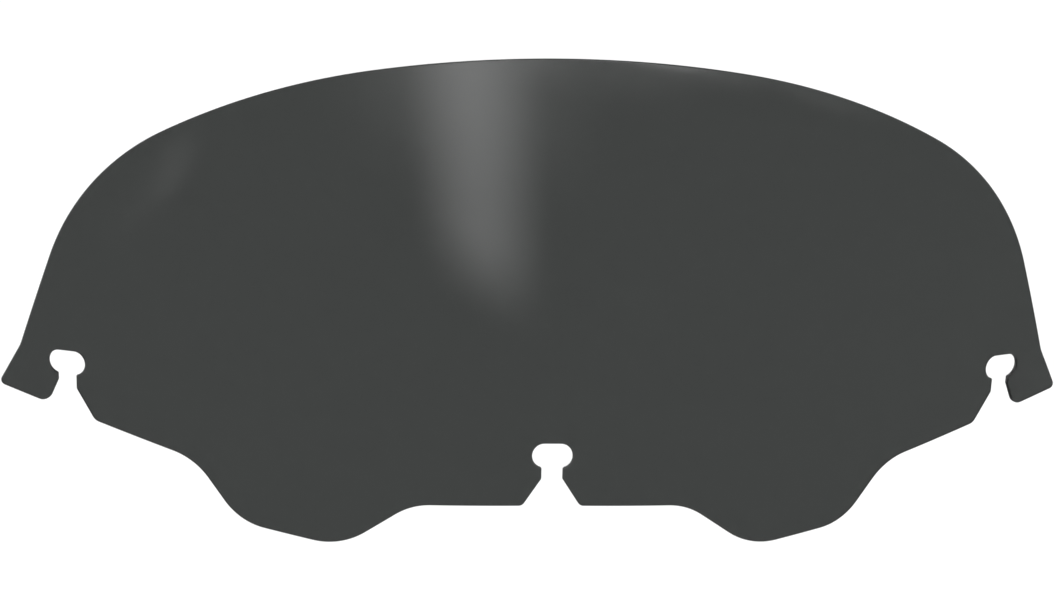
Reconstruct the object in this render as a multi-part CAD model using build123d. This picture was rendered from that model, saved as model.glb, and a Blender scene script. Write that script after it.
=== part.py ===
from build123d import *
import os
from math import atan2, cos, hypot, radians, sin, sqrt

# Windscreen of a fork-mounted touring fairing, in millimetres.
# One sheet of cast acrylic is cut flat and then bent over a conical former.
# The flat blank is drawn with X across and Y up from the middle of its centre
# slot. Bent, the sheet stands along Z, bulges towards -Y and sweeps back to +Y.

# Sheet and the rounding of its polished edge
THICKNESS = 3.2
EDGE_RADIUS = 1.0

# Former: a cone whose front generatrix is upright, apex below the centre slot
CONE_HALF_ANGLE = radians(45)
APEX_BELOW_SLOT = 498.0

# Crown of the flat blank: three tangent arcs, each a radius and the turn it makes
CROWN_HEIGHT = 229.3
CROWN_ARCS = [(670.0, 9.2), (403.0, 18.4), (145.0, 42.1)]

# Straight side below the crown, down to the bend in the ear's edge
SIDE_LENGTH = 59.7

# Ear outside each outer slot: its tip and its inner corner, after that bend
EAR_CORNERS = [(334.5, 20.4), (302.2, 12.3)]
EAR_RADII = [18.0, 3.0, 7.0]

# Lower edge, from the foot of an outer slot down to the foot of the centre slot
LOWER_CORNERS = [(271.5, 4.9), (209.2, -11.7), (181.6, -47.1), (121.2, -57.2), (80.6, -30.5), (16.8, -29.5)]
LOWER_RADII = [6.5, 41.0, 38.5, 42.5, 37.5, 4.0]

# Keyhole slots: a wide round-ended head over a neck that opens downwards
SLOT_NECK = 12.2
SLOT_HEAD_WIDTH = 23.5
SLOT_HEAD_HEIGHT = 14.0
NECK_CORNER_RADIUS = 1.3
NECK_FOOT_RADIUS = 2.0
CENTRE_SLOT = Vector(0, 0)
OUTER_SLOT = Vector(289.0, 38.3)
CENTRE_NECK_FOOT = -13.5
OUTER_NECK_FOOT_INSIDE = 23.1
OUTER_NECK_FOOT_OUTSIDE = 27.0

# Spacing of the points that carry an edge of the blank onto the cone
BEND_STEP = 4.0

CONE_AXIS = Vector(0, sin(CONE_HALF_ANGLE), cos(CONE_HALF_ANGLE))
CONE_FRONT = Vector(0, -cos(CONE_HALF_ANGLE), sin(CONE_HALF_ANGLE))
CONE_SIDE = Vector(1, 0, 0)
APEX = Vector(0, 0, -APEX_BELOW_SLOT)


def neck_corner(slot, side):
    """Where a slot's neck meets the round end of its head on one side."""
    end_radius = SLOT_HEAD_HEIGHT / 2
    past_end_centre = (SLOT_NECK - SLOT_HEAD_WIDTH) / 2 + end_radius
    return slot + Vector(side * SLOT_NECK / 2, -sqrt(end_radius**2 - past_end_centre**2))


def half_head(slot, side):
    """Half of a slot's head, from its neck round one end to the middle of its top."""
    end_radius = SLOT_HEAD_HEIGHT / 2
    end = slot + Vector(side * SLOT_HEAD_WIDTH / 2, 0)
    top = slot + Vector(side * (SLOT_HEAD_WIDTH / 2 - end_radius), end_radius)
    return [ThreePointArc(neck_corner(slot, side), end, top), Line(top, slot + Vector(0, end_radius))]


def crown():
    """The crown's arcs, from the top of the centre line out towards one ear."""
    arcs = []
    start, heading = Vector(0, CROWN_HEIGHT), Vector(1, 0)
    for radius, turn in CROWN_ARCS:
        arc = JernArc(start, heading, radius, -turn)
        start, heading = arc @ 1, arc % 1
        arcs.append(arc)
    return arcs


def half_outline():
    """Right half of the blank's outline, from the top centre to the centre slot."""
    arcs = crown()
    ear_bend = (arcs[-1] @ 1) + (arcs[-1] % 1) * SIDE_LENGTH
    ear = FilletPolyline(
        arcs[-1] @ 1,
        ear_bend,
        *EAR_CORNERS,
        (OUTER_SLOT.X + SLOT_NECK / 2, OUTER_NECK_FOOT_OUTSIDE),
        neck_corner(OUTER_SLOT, 1),
        radius=[*EAR_RADII, NECK_FOOT_RADIUS],
    )
    lower = FilletPolyline(
        neck_corner(OUTER_SLOT, -1),
        (OUTER_SLOT.X - SLOT_NECK / 2, OUTER_NECK_FOOT_INSIDE),
        *LOWER_CORNERS,
        (SLOT_NECK / 2, CENTRE_NECK_FOOT),
        neck_corner(CENTRE_SLOT, 1),
        radius=[NECK_FOOT_RADIUS, *LOWER_RADII, NECK_FOOT_RADIUS],
    )
    outer_head = half_head(OUTER_SLOT, 1) + half_head(OUTER_SLOT, -1)
    return [*arcs, *ear.edges(), *outer_head, *lower.edges(), *half_head(CENTRE_SLOT, 1)]


def blank_outline():
    """Edges of the whole flat blank in order, both halves, with no sharp corner."""
    right = half_outline()
    left = [edge.mirror(Plane.YZ) for edge in right]
    blank = Face(Wire(right + left))
    corners = []
    for side in (-1, 1):
        corners.append(neck_corner(CENTRE_SLOT, side))
        for half in (-1, 1):
            corner = neck_corner(OUTER_SLOT, side)
            corners.append(Vector(half * corner.X, corner.Y))
    sharp = [blank.vertices().sort_by_distance(corner)[0] for corner in corners]
    edges = blank.fillet_2d(NECK_CORNER_RADIUS, sharp).outer_wire().order_edges()
    return edges


def bend(point, height):
    """Carries a point of the flat blank onto the cone, at a height off its front."""
    slant = hypot(point.X, point.Y + APEX_BELOW_SLOT)
    flat_angle = atan2(point.X, point.Y + APEX_BELOW_SLOT)
    around = flat_angle / sin(CONE_HALF_ANGLE)
    outward = CONE_FRONT * cos(around) + CONE_SIDE * sin(around)
    along = CONE_AXIS * cos(CONE_HALF_ANGLE) + outward * sin(CONE_HALF_ANGLE)
    normal = outward * cos(CONE_HALF_ANGLE) - CONE_AXIS * sin(CONE_HALF_ANGLE)
    return APEX + along * slant + normal * height


def bent_edge(edge, height, inset):
    """One edge of the outline, drawn in by an inset and carried onto the cone."""

    def bent_point(share):
        heading = edge % share
        inward = Vector(heading.Y, -heading.X)
        return bend(edge @ share + inward * inset, height)

    count = max(4, int(edge.length / BEND_STEP) + 2)
    points = [bent_point(i / (count - 1)) for i in range(count)]
    small = 1e-4
    start_heading = bent_point(small) - bent_point(0)
    end_heading = bent_point(1) - bent_point(1 - small)
    return Edge.make_spline(points, tangents=[start_heading, end_heading])


def edge_section():
    """Height and inset of the edge's section: each rounding is two flats."""
    near = EDGE_RADIUS * (1 - sqrt(0.5))
    beyond = (EDGE_RADIUS - near) + EDGE_RADIUS
    front = [(near, beyond), (-near, near), (-EDGE_RADIUS, 0)]
    back = [(-THICKNESS - height, inset) for height, inset in reversed(front)]
    return front + back


def trimming_wall():
    """Closed wall round the outline, square to the bent sheet and deeper than it."""
    outline = blank_outline()
    wires = [Wire([bent_edge(edge, height, inset) for edge in outline]) for height, inset in edge_section()]
    return Shell.make_loft(wires, ruled=True)


def former_sheet():
    """Oversize sheet on the former: its section turned about the cone's axis."""
    low = -APEX_BELOW_SLOT / 2
    high = CROWN_HEIGHT + APEX_BELOW_SLOT / 2
    section = Wire.make_polygon([(0, 0, low), (0, 0, high), (0, THICKNESS, high), (0, THICKNESS, low)])
    axis = Axis(APEX, CONE_AXIS)
    sweep = 110
    return Solid.revolve(Face(section), sweep, axis).rotate(axis, -sweep / 2)


def windshield_panel():
    """The bent sheet inside the trimming wall, the smaller of the two pieces."""
    pieces = former_sheet().split(trimming_wall(), keep=Keep.ALL)
    return min(pieces, key=lambda piece: piece.volume)


os.makedirs("parts", exist_ok=True)
export_step(windshield_panel(), "parts/windshield_panel.step")
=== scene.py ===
from math import atan2, ceil, cos, hypot, pi, radians, sin, sqrt, tan

import bpy
from mathutils import Matrix, Vector
from mathutils.geometry import delaunay_2d_cdt


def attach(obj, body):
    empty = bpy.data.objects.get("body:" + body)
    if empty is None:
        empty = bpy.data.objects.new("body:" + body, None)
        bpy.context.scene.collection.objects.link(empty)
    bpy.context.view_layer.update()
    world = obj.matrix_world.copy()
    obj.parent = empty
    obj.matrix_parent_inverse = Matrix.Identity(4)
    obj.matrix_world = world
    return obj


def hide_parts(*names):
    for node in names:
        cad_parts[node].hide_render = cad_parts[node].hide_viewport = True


# A bare smoked windscreen on white: one acrylic sheet, cut flat and bent over a cone.
# The flat blank is drawn with X across and Y up from the middle of its centre slot,
# which is the frame's origin. Bent, the sheet bulges towards -Y. Lengths are metres,
# apart from the blank's own dimensions, which are millimetres.

MM = 0.001

# Sheet and the rounding of its polished edge
THICKNESS = 3.2 * MM
EDGE_RADIUS = 1.0 * MM

# Former: a cone whose front generatrix is upright, apex below the centre slot
CONE_HALF_ANGLE = radians(45)
APEX_BELOW_SLOT = 498 * MM

# Crown of the blank, in mm: three tangent arcs, each a radius and the turn it makes
# in degrees, and the straight side below them
CROWN_HEIGHT = 229.3
CROWN_ARCS = [(670.0, 9.2), (403.0, 18.4), (145.0, 42.1)]
SIDE_LENGTH = 59.7

# Ear outside each outer slot, in mm: its tip and its inner corner
EAR_CORNERS = [(334.5, 20.4), (302.2, 12.3)]
EAR_RADII = [18.0, 3.0, 7.0]

# Lower edge, in mm, from the foot of an outer slot down to the foot of the centre slot
LOWER_CORNERS = [(271.5, 4.9), (209.2, -11.7), (181.6, -47.1), (121.2, -57.2), (80.6, -30.5), (16.8, -29.5)]
LOWER_RADII = [6.5, 41.0, 38.5, 42.5, 37.5, 4.0]

# Keyhole slots, in mm: a wide round-ended head over a neck that opens downwards
SLOT_NECK = 12.2
SLOT_HEAD_WIDTH = 23.5
SLOT_HEAD_HEIGHT = 14.0
NECK_CORNER_RADIUS = 1.3
NECK_FOOT_RADIUS = 2.0
CENTRE_SLOT = Vector((0, 0))
OUTER_SLOT = Vector((289.0, 38.3))
CENTRE_NECK_FOOT = -13.5
OUTER_NECK_FOOT_INSIDE = 23.1
OUTER_NECK_FOOT_OUTSIDE = 27.0

# Fineness of the visual mesh: spacing along the outline and over the faces, in mm,
# and the number of steps round each edge
OUTLINE_STEP = 2.0
ARC_STEP = radians(9)
FACE_STEP = 9.0
EDGE_STEPS = 5

# How the faces are filled: only inside the outline, and joining points this close
FILL_INSIDE = 1
FILL_MERGE = 1e-7

# Sockets of Blender's colour mix node
MIX_FIRST = 6
MIX_SECOND = 7
MIX_RESULT = 2

ACRYLIC_IOR = 1.49

# Studio: floor, and how bright the white room is seen directly and in the gloss
FLOOR_HEIGHT = -0.45
FLOOR_REACH = 14
ROOM_WHITE = 1.15
ROOM_MIRRORED = 0.3

# Heights over which a soft light fades out at its top: dark, then bright
LIGHT_TOP = (2.6, 2.2)

# Camera, at the photograph's viewing angle
CAMERA_AZIMUTH = radians(-6.91)
CAMERA_ELEVATION = radians(9.94)
CAMERA_ROLL = radians(1.54)
CAMERA_DISTANCE = 2.606
CAMERA_TARGET = Vector((-0.0124, 0.04, 0.0838))
CAMERA_LENS = 153.7

CONE_AXIS = Vector((0, sin(CONE_HALF_ANGLE), cos(CONE_HALF_ANGLE)))
CONE_FRONT = Vector((0, -cos(CONE_HALF_ANGLE), sin(CONE_HALF_ANGLE)))
CONE_SIDE = Vector((1, 0, 0))
APEX = Vector((0, 0, -APEX_BELOW_SLOT))


# ---------------------------------------------------------------- flat blank


def line(start, end):
    """Points from start up to but not including end."""
    count = max(1, ceil((end - start).length / OUTLINE_STEP))
    return [start.lerp(end, i / count) for i in range(count)]


def arc(centre, radius, start_angle, turn):
    """Points round an arc, without its last one. A positive turn is anticlockwise."""
    count = max(1, ceil(abs(turn) / ARC_STEP), ceil(abs(turn) * radius / OUTLINE_STEP))
    angles = [start_angle + turn * i / count for i in range(count)]
    return [centre + Vector((cos(a), sin(a))) * radius for a in angles]


def rounded_path(corners, radii):
    """Points along straight runs between corners, each inner corner rounded."""
    points = []
    start = corners[0]
    for before, corner, after, radius in zip(corners, corners[1:], corners[2:], radii):
        back = (before - corner).normalized()
        on = (after - corner).normalized()
        half_angle = back.angle(on) / 2
        reach = radius / tan(half_angle)
        centre = corner + (back + on).normalized() * (radius / sin(half_angle))
        turn = (pi - 2 * half_angle) * (1 if back.cross(on) < 0 else -1)
        first = corner + back * reach - centre
        points += line(start, centre + first)
        points += arc(centre, radius, atan2(first.y, first.x), turn)
        start = corner + on * reach
    return points + line(start, corners[-1])


def crown():
    """Points round the crown, and the place and heading where it ends."""
    points = []
    place, heading = Vector((0, CROWN_HEIGHT)), 0.0
    for radius, turn in CROWN_ARCS:
        centre = place + Vector((sin(heading), -cos(heading))) * radius
        points += arc(centre, radius, pi / 2 + heading, -radians(turn))
        heading -= radians(turn)
        place = centre + Vector((-sin(heading), cos(heading))) * radius
    return points, place, heading


def slot_head(slot):
    """Points round a slot's head, from its neck's +X side to its neck's -X side."""
    end_radius = SLOT_HEAD_HEIGHT / 2
    end_offset = SLOT_HEAD_WIDTH / 2 - end_radius
    across = SLOT_NECK / 2 + NECK_CORNER_RADIUS - end_offset
    down = sqrt((end_radius + NECK_CORNER_RADIUS) ** 2 - across**2)
    joint_angle = atan2(across, down)
    corner = slot + Vector((end_offset + across, -down))
    end = slot + Vector((end_offset, 0))
    top = slot + Vector((0, end_radius))
    side = arc(corner, NECK_CORNER_RADIUS, pi, -(pi / 2 - joint_angle))
    side += arc(end, end_radius, -pi / 2 + joint_angle, pi - joint_angle)
    side += line(end + Vector((0, end_radius)), top)
    other_side = [Vector((2 * slot.x - p.x, p.y)) for p in reversed(side)]
    return side + [top] + other_side


def half_outline():
    """Points of the blank's right half, from the top centre to the centre slot's head."""
    points, place, heading = crown()
    ear_bend = place + Vector((cos(heading), sin(heading))) * SIDE_LENGTH
    head = slot_head(OUTER_SLOT)
    centre_head = slot_head(CENTRE_SLOT)
    ear = [place, ear_bend, *map(Vector, EAR_CORNERS)]
    ear += [Vector((OUTER_SLOT.x + SLOT_NECK / 2, OUTER_NECK_FOOT_OUTSIDE)), head[0]]
    lower = [head[-1], Vector((OUTER_SLOT.x - SLOT_NECK / 2, OUTER_NECK_FOOT_INSIDE))]
    lower += [*map(Vector, LOWER_CORNERS), Vector((SLOT_NECK / 2, CENTRE_NECK_FOOT)), centre_head[0]]
    points += rounded_path(ear, [*EAR_RADII, NECK_FOOT_RADIUS])
    points += head[:-1]
    points += rounded_path(lower, [NECK_FOOT_RADIUS, *LOWER_RADII, NECK_FOOT_RADIUS])
    return points + [p for p in centre_head if p.x > 0]


def outline():
    """The whole outline, clockwise from the top centre, and its inward directions."""
    right = half_outline()
    left = [Vector((-p.x, p.y)) for p in reversed(right[1:])]
    slot_top = Vector((0, SLOT_HEAD_HEIGHT / 2))
    points = [p * MM for p in right + [slot_top] + left]
    inward = []
    for i, point in enumerate(points):
        before, after = points[i - 1], points[(i + 1) % len(points)]
        heading = (point - before).normalized() + (after - point).normalized()
        inward.append(Vector((heading.y, -heading.x)).normalized())
    return points, inward


# ---------------------------------------------------------------- bent sheet


def bend_directions(flat):
    """How a flat point lands on the cone: its distance from the apex, its angle on the
    blank, and the directions away from the apex, out of the sheet and round the cone."""
    slant = hypot(flat.x, flat.y + APEX_BELOW_SLOT)
    flat_angle = atan2(flat.x, flat.y + APEX_BELOW_SLOT)
    around = flat_angle / sin(CONE_HALF_ANGLE)
    outward = CONE_FRONT * cos(around) + CONE_SIDE * sin(around)
    along = CONE_AXIS * cos(CONE_HALF_ANGLE) + outward * sin(CONE_HALF_ANGLE)
    normal = outward * cos(CONE_HALF_ANGLE) - CONE_AXIS * sin(CONE_HALF_ANGLE)
    hoop = CONE_SIDE * cos(around) - CONE_FRONT * sin(around)
    return slant, flat_angle, along, normal, hoop


def bend(flat, height):
    """Carries a point of the blank onto the cone, at a height off its front."""
    slant, _, along, normal, _ = bend_directions(flat)
    return APEX + along * slant + normal * height


def bend_heading(flat, heading):
    """Carries an in-sheet direction of the blank onto the cone."""
    _, flat_angle, along, _, hoop = bend_directions(flat)
    away = heading.x * sin(flat_angle) + heading.y * cos(flat_angle)
    round_way = heading.x * cos(flat_angle) - heading.y * sin(flat_angle)
    return along * away + hoop * round_way


def sheet_normal(flat):
    """Direction out of the bent sheet's front at a flat point."""
    return bend_directions(flat)[3]


def inside(point, ring):
    """Whether a flat point lies inside a closed ring."""
    crossings = 0
    for a, b in zip(ring, ring[1:] + ring[:1]):
        if (a.y > point.y) != (b.y > point.y):
            crossings += a.x + (point.y - a.y) / (b.y - a.y) * (b.x - a.x) > point.x
    return crossings % 2 == 1


def face_points(ring):
    """A staggered grid of flat points inside the ring, clear of its edge."""
    step = FACE_STEP * MM
    clear = step / 3
    low_x, high_x = min(p.x for p in ring), max(p.x for p in ring)
    low_y, high_y = min(p.y for p in ring), max(p.y for p in ring)
    edge_points = {}
    for p in ring:
        edge_points.setdefault((round(p.x / step), round(p.y / step)), []).append(p)
    points = []
    for row in range(int((high_y - low_y) / step) + 1):
        for column in range(int((high_x - low_x) / step) + 1):
            point = Vector((low_x + (column + row % 2 / 2) * step, low_y + row * step))
            across, up = round(point.x / step), round(point.y / step)
            cells = [(across + i, up + j) for i in (-1, 0, 1) for j in (-1, 0, 1)]
            close = any((point - p).length < clear for cell in cells for p in edge_points.get(cell, []))
            if not close and inside(point, ring):
                points.append(point)
    return points


def edge_section():
    """Height, inset and normal's (outward, in-sheet) parts at each step round the edge."""
    section = []
    for step in range(EDGE_STEPS + 1):
        turn = pi / 2 * step / EDGE_STEPS
        section.append((-EDGE_RADIUS * (1 - cos(turn)), EDGE_RADIUS * (1 - sin(turn)), cos(turn), sin(turn)))
    back = [(-THICKNESS - height, inset, -out, rim) for height, inset, out, rim in reversed(section)]
    return section + back


def edge_rings(points, inward):
    """Vertices and normals of the rings that run round the sheet's rounded edge."""
    vertices, normals = [], []
    for height, inset, out, rim in edge_section():
        for point, heading in zip(points, inward):
            flat = point + heading * inset
            vertices.append(bend(flat, height))
            normals.append((sheet_normal(flat) * out - bend_heading(flat, heading) * rim).normalized())
    return vertices, normals


def ring_faces(ring_size, ring_count):
    """Four-sided faces between each ring and the next."""
    faces = []
    for ring in range(ring_count - 1):
        base, above = ring * ring_size, (ring + 1) * ring_size
        for i in range(ring_size):
            j = (i + 1) % ring_size
            faces.append((base + i, base + j, above + j, above + i))
    return faces


def fill(ring):
    """Triangles over a flat ring. Gives their points, the triangles as point numbers,
    and each point's number on the ring, or None for a point inside it."""
    edges = [list(range(len(ring)))]
    filled = delaunay_2d_cdt(ring + face_points(ring), [], edges, FILL_INSIDE, FILL_MERGE)
    points, triangles, sources = filled[0], filled[2], filled[3]
    on_ring = [source[0] if source and source[0] < len(ring) else None for source in sources]
    return points, triangles, on_ring


def make_panel():
    """The bent sheet as one closed fine mesh with the true surface normals."""
    points, inward = outline()
    vertices, normals = edge_rings(points, inward)
    ring_count = len(edge_section())
    last_ring = (ring_count - 1) * len(points)
    flat_points, triangles, on_ring = fill([p + d * EDGE_RADIUS for p, d in zip(points, inward)])
    faces = []
    for height, first_of_ring, facing in ((0, 0, 1), (-THICKNESS, last_ring, -1)):
        numbers = []
        for flat, ring_number in zip(flat_points, on_ring):
            if ring_number is None:
                numbers.append(len(vertices))
                vertices.append(bend(flat, height))
                normals.append(sheet_normal(flat) * facing)
            else:
                numbers.append(first_of_ring + ring_number)
        faces += [[numbers[i] for i in triangle][::facing] for triangle in triangles]
    mesh = bpy.data.meshes.new("windshield_panel_fine")
    mesh.from_pydata(vertices, [], faces + ring_faces(len(points), ring_count))
    mesh.update()
    mesh.shade_smooth()
    mesh.normals_split_custom_set_from_vertices(normals)
    mesh.materials.append(smoked_acrylic())
    mesh.materials.append(polished_rim_with_painted_shade())
    for polygon in mesh.polygons:
        polygon.material_index = 0 if polygon.index < len(faces) else 1
    panel = bpy.data.objects.new("windshield_sheet", mesh)
    bpy.context.scene.collection.objects.link(panel)
    return panel


# ---------------------------------------------------------------- materials


def new_material(name):
    """A node material, its nodes, its links and its Principled shader."""
    material = bpy.data.materials.new(name)
    material.use_nodes = True
    nodes = material.node_tree.nodes
    return material, nodes, material.node_tree.links, nodes["Principled BSDF"]


def noise(nodes, links, scale, detail):
    """Noise over the object's own coordinates in metres, mostly from 0.3 to 0.7."""
    coordinates = nodes.new("ShaderNodeTexCoord")
    texture = nodes.new("ShaderNodeTexNoise")
    texture.inputs["Scale"].default_value = scale
    texture.inputs["Detail"].default_value = detail
    links.new(coordinates.outputs["Object"], texture.inputs["Vector"])
    return texture.outputs["Fac"]


def remap(nodes, links, value, low, high):
    """A noise value spread between two levels."""
    node = nodes.new("ShaderNodeMapRange")
    node.inputs["From Min"].default_value = 0.3
    node.inputs["From Max"].default_value = 0.7
    node.inputs["To Min"].default_value = low
    node.inputs["To Max"].default_value = high
    links.new(value, node.inputs["Value"])
    return node.outputs["Result"]


def bump(nodes, links, height, distance, strength):
    """The normal of a surface that a height raises by up to a distance."""
    node = nodes.new("ShaderNodeBump")
    node.inputs["Distance"].default_value = distance
    node.inputs["Strength"].default_value = strength
    links.new(height, node.inputs["Height"])
    return node.outputs["Normal"]


def tint(nodes, links, shader, dark, light):
    """A base colour that drifts slightly between two shades."""
    mix = nodes.new("ShaderNodeMix")
    mix.data_type = "RGBA"
    mix.inputs[MIX_FIRST].default_value = (*dark, 1)
    mix.inputs[MIX_SECOND].default_value = (*light, 1)
    links.new(noise(nodes, links, 6, 2), mix.inputs["Factor"])
    links.new(mix.outputs[MIX_RESULT], shader.inputs["Base Color"])


def smoked_acrylic():
    """Gloss faces: dark smoke of slightly uneven density, faint haze and forming ripple."""
    material, nodes, links, shader = new_material("smoked_acrylic")
    shader.inputs["Transmission Weight"].default_value = 1.0
    shader.inputs["IOR"].default_value = ACRYLIC_IOR
    tint(nodes, links, shader, (0.0397, 0.0428, 0.0413), (0.0412, 0.0444, 0.0428))
    haze = noise(nodes, links, 45, 5)
    links.new(remap(nodes, links, haze, 0.015, 0.035), shader.inputs["Roughness"])
    ripple = noise(nodes, links, 14, 1)
    links.new(bump(nodes, links, ripple, 0.00012, 0.25), shader.inputs["Normal"])
    return material


def polished_rim_with_painted_shade():
    """The buffed edge: the same smoke painted a little darker as shade along the edge, a little duller, with
    fine buffing marks.
    """
    material, nodes, links, shader = new_material("polished_rim_with_painted_shade")
    shader.inputs["Transmission Weight"].default_value = 1.0
    shader.inputs["IOR"].default_value = ACRYLIC_IOR
    # Painted shade: a darker smoke than the faces', standing in for the dark line along the edge
    tint(nodes, links, shader, (0.036, 0.0388, 0.0375), (0.040, 0.0431, 0.0416))
    marks = noise(nodes, links, 900, 3)
    links.new(remap(nodes, links, marks, 0.06, 0.16), shader.inputs["Roughness"])
    links.new(bump(nodes, links, marks, 0.00004, 0.3), shader.inputs["Normal"])
    return material


def floor_paper():
    """Matt white paper with a very fine tooth."""
    material, nodes, links, shader = new_material("floor_paper")
    tint(nodes, links, shader, (0.92, 0.92, 0.92), (0.95, 0.95, 0.95))
    tooth = noise(nodes, links, 700, 2)
    links.new(bump(nodes, links, tooth, 0.0001, 0.3), shader.inputs["Normal"])
    shader.inputs["Roughness"].default_value = 0.9
    shader.inputs["Specular IOR Level"].default_value = 0.1
    return material


def fade(nodes, links, value, dark_at, bright_at):
    """A smooth 0 to 1 ramp of a value."""
    node = nodes.new("ShaderNodeMapRange")
    node.interpolation_type = "SMOOTHSTEP"
    node.inputs["From Min"].default_value = dark_at
    node.inputs["From Max"].default_value = bright_at
    links.new(value, node.inputs["Value"])
    return node.outputs["Result"]


def maths(nodes, links, operation, first, second):
    """A math node whose first input is a link and whose second is a link or a number."""
    node = nodes.new("ShaderNodeMath")
    node.operation = operation
    links.new(first, node.inputs[0])
    if isinstance(second, float):
        node.inputs[1].default_value = second
    else:
        links.new(second, node.inputs[1])
    return node.outputs[0]


def soft_light(name, strength, centre, half_width, bottom, top, slant, lean):
    """Light through a diffuser, clear where it is dark. It is brightest on its middle
    line, at X = centre, and fades out at its sides, bottom and top. Bottom and top are
    pairs of heights, dark and then bright. A slant lowers both by so much per metre
    towards +X, and a lean moves the middle line towards -X with height."""
    material = bpy.data.materials.new(name)
    material.use_nodes = True
    nodes, links = material.node_tree.nodes, material.node_tree.links
    nodes.clear()
    coordinates = nodes.new("ShaderNodeTexCoord")
    split = nodes.new("ShaderNodeSeparateXYZ")
    links.new(coordinates.outputs["Object"], split.inputs["Vector"])
    offset = maths(nodes, links, "SUBTRACT", split.outputs["X"], centre)
    height = maths(nodes, links, "ADD", split.outputs["Z"], maths(nodes, links, "MULTIPLY", offset, slant))
    leaning = maths(nodes, links, "ADD", offset, maths(nodes, links, "MULTIPLY", split.outputs["Z"], lean))
    side = nodes.new("ShaderNodeMath")
    side.operation = "ABSOLUTE"
    links.new(leaning, side.inputs[0])
    level = fade(nodes, links, side.outputs[0], half_width, 0.0)
    level = maths(nodes, links, "MULTIPLY", level, fade(nodes, links, height, *bottom))
    level = maths(nodes, links, "MULTIPLY", level, fade(nodes, links, height, *top))
    glow = nodes.new("ShaderNodeEmission")
    links.new(maths(nodes, links, "MULTIPLY", level, strength), glow.inputs["Strength"])
    clear = nodes.new("ShaderNodeBsdfTransparent")
    both = nodes.new("ShaderNodeAddShader")
    links.new(glow.outputs["Emission"], both.inputs[0])
    links.new(clear.outputs["BSDF"], both.inputs[1])
    output = nodes.new("ShaderNodeOutputMaterial")
    links.new(both.outputs["Shader"], output.inputs["Surface"])
    return material


# ---------------------------------------------------------------- studio


def rectangle(name, corners, material):
    """A flat stage piece from four corners."""
    mesh = bpy.data.meshes.new(name)
    mesh.from_pydata([Vector(c) for c in corners], [], [(0, 1, 2, 3)])
    mesh.materials.append(material)
    piece = bpy.data.objects.new(name, mesh)
    bpy.context.scene.collection.objects.link(piece)
    return piece


def add_light(
    name, distance, strength, centre, half_width, bottom, top=LIGHT_TOP, slant=0.0, lean=0.0, turn=0.0
):
    """A soft light panel, there only to be mirrored in the sheet. It stands in front,
    at a distance towards -Y, and a turn carries it about the Z axis, anticlockwise."""
    spread = half_width + abs(lean) * max(abs(bottom[0]), abs(top[0]))
    left, right = centre - spread, centre + spread
    low, high = bottom[0] - abs(slant) * spread, top[0] + abs(slant) * spread
    corners = [(x, -distance, z) for x, z in ((left, low), (right, low), (right, high), (left, high))]
    light = rectangle(name, corners, soft_light(name, strength, centre, half_width, bottom, top, slant, lean))
    light.rotation_euler.z = turn
    light.visible_camera = False
    light.visible_transmission = False
    light.visible_diffuse = False
    light.visible_shadow = False


def add_front_lights():
    """The lights whose reflections are the highlights seen from the front."""
    # The tall band left of the middle, its mirror in the rounded rim, and haze round it
    add_light("band_light", 1.20, 1.93, -0.088, 0.225, (-0.149, -0.061), (0.14, 0.10), slant=0.055, lean=0.12)
    add_light("band_rim_light", 1.16, 1.93, -0.10, 0.225, (0.10, 0.14))
    add_light("haze_light", 1.22, 1.20, -0.13, 0.48, (-0.075, 0.10))
    # The sheen under the crown's edge, from the middle out to the right
    add_light("apex_light", 1.18, 0.42, 0.102, 0.14, (0.055, 0.090))
    add_light("top_light", 1.24, 0.62, 0.40, 0.42, (0.02, 0.075), slant=0.06)
    add_light("brow_light", 1.26, 1.75, 0.48, 0.24, (0.048, 0.058), slant=0.12)
    add_light("brow_end_light", 1.28, 0.60, 0.66, 0.30, (0.008, 0.031), slant=0.17)
    add_light("brow_tail_light", 1.34, 0.30, 1.10, 0.55, (-0.088, -0.075), slant=0.273)
    # The short streak on the left shoulder and its faint tail
    add_light("shoulder_light", 1.30, 0.38, -1.145, 0.195, (-0.282, -0.254), (-0.207, -0.254), slant=-0.55)
    add_light("shoulder_tail_light", 1.32, 0.13, -1.40, 0.25, (-0.42, -0.39), (-0.35, -0.39), slant=-0.55)


def add_other_lights():
    """Lights for the other views, placed where the front view mirrors none of them."""
    add_light("left_light", 1.60, 1.40, -0.40, 1.00, (-0.95, -0.35), turn=radians(-90))
    add_light("right_light", 1.60, 1.40, 0.55, 0.85, (-0.95, -0.35), turn=radians(90))
    add_light("back_light", 1.60, 2.40, 0.35, 0.65, (-0.60, 0.05), turn=radians(180))


def add_floor():
    """The pale floor, left out of reflections as if dark cloth lay in front."""
    signs = [(-1, -1), (1, -1), (1, 1), (-1, 1)]
    corners = [(x * FLOOR_REACH, y * FLOOR_REACH, FLOOR_HEIGHT) for x, y in signs]
    floor = rectangle("floor", corners, floor_paper())
    floor.visible_glossy = False


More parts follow.
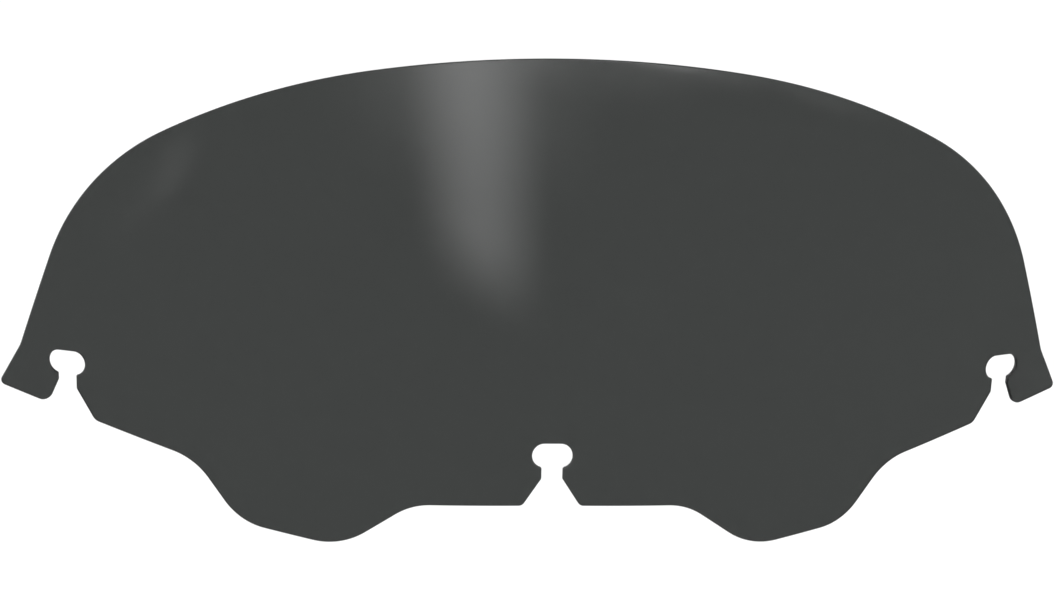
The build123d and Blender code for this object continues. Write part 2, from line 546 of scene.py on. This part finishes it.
def add_world():
    """Even white light all round, with a dimmer room where the gloss mirrors it."""
    world = bpy.data.worlds.new("studio")
    bpy.context.scene.world = world
    world.use_nodes = True
    nodes, links = world.node_tree.nodes, world.node_tree.links
    background = nodes["Background"]
    background.inputs["Color"].default_value = (1, 1, 1, 1)
    path = nodes.new("ShaderNodeLightPath")
    reflected = nodes.new("ShaderNodeMath")
    reflected.operation = "SUBTRACT"
    reflected.use_clamp = True
    links.new(path.outputs["Is Glossy Ray"], reflected.inputs[0])
    links.new(path.outputs["Is Transmission Ray"], reflected.inputs[1])
    level = nodes.new("ShaderNodeMapRange")
    level.inputs["To Min"].default_value = ROOM_WHITE
    level.inputs["To Max"].default_value = ROOM_MIRRORED
    links.new(reflected.outputs[0], level.inputs["Value"])
    links.new(level.outputs["Result"], background.inputs["Strength"])


def add_camera():
    """Camera at the photograph's viewing angle."""
    data = bpy.data.cameras.new("camera")
    data.sensor_width = 36
    data.lens = CAMERA_LENS
    camera = bpy.data.objects.new("camera", data)
    bpy.context.scene.collection.objects.link(camera)
    level = Vector((sin(CAMERA_AZIMUTH), -cos(CAMERA_AZIMUTH), 0))
    back = level * cos(CAMERA_ELEVATION) + Vector((0, 0, sin(CAMERA_ELEVATION)))
    place = Matrix.Translation(CAMERA_TARGET + back * CAMERA_DISTANCE)
    turn = back.to_track_quat("Z", "Y").to_matrix().to_4x4()
    camera.matrix_world = place @ turn @ Matrix.Rotation(CAMERA_ROLL, 4, "Z")
    bpy.context.scene.camera = camera


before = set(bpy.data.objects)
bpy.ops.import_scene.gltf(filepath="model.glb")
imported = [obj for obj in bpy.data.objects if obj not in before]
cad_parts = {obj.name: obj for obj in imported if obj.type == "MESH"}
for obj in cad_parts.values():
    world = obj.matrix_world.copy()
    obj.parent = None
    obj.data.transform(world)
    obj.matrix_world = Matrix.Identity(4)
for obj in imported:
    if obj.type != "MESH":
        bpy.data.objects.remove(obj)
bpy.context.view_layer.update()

panel = make_panel()
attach(panel, "root")
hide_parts("windshield_panel")

add_floor()
add_world()
add_front_lights()
add_other_lights()
add_camera()
bpy.context.scene.view_settings.view_transform = "Standard"
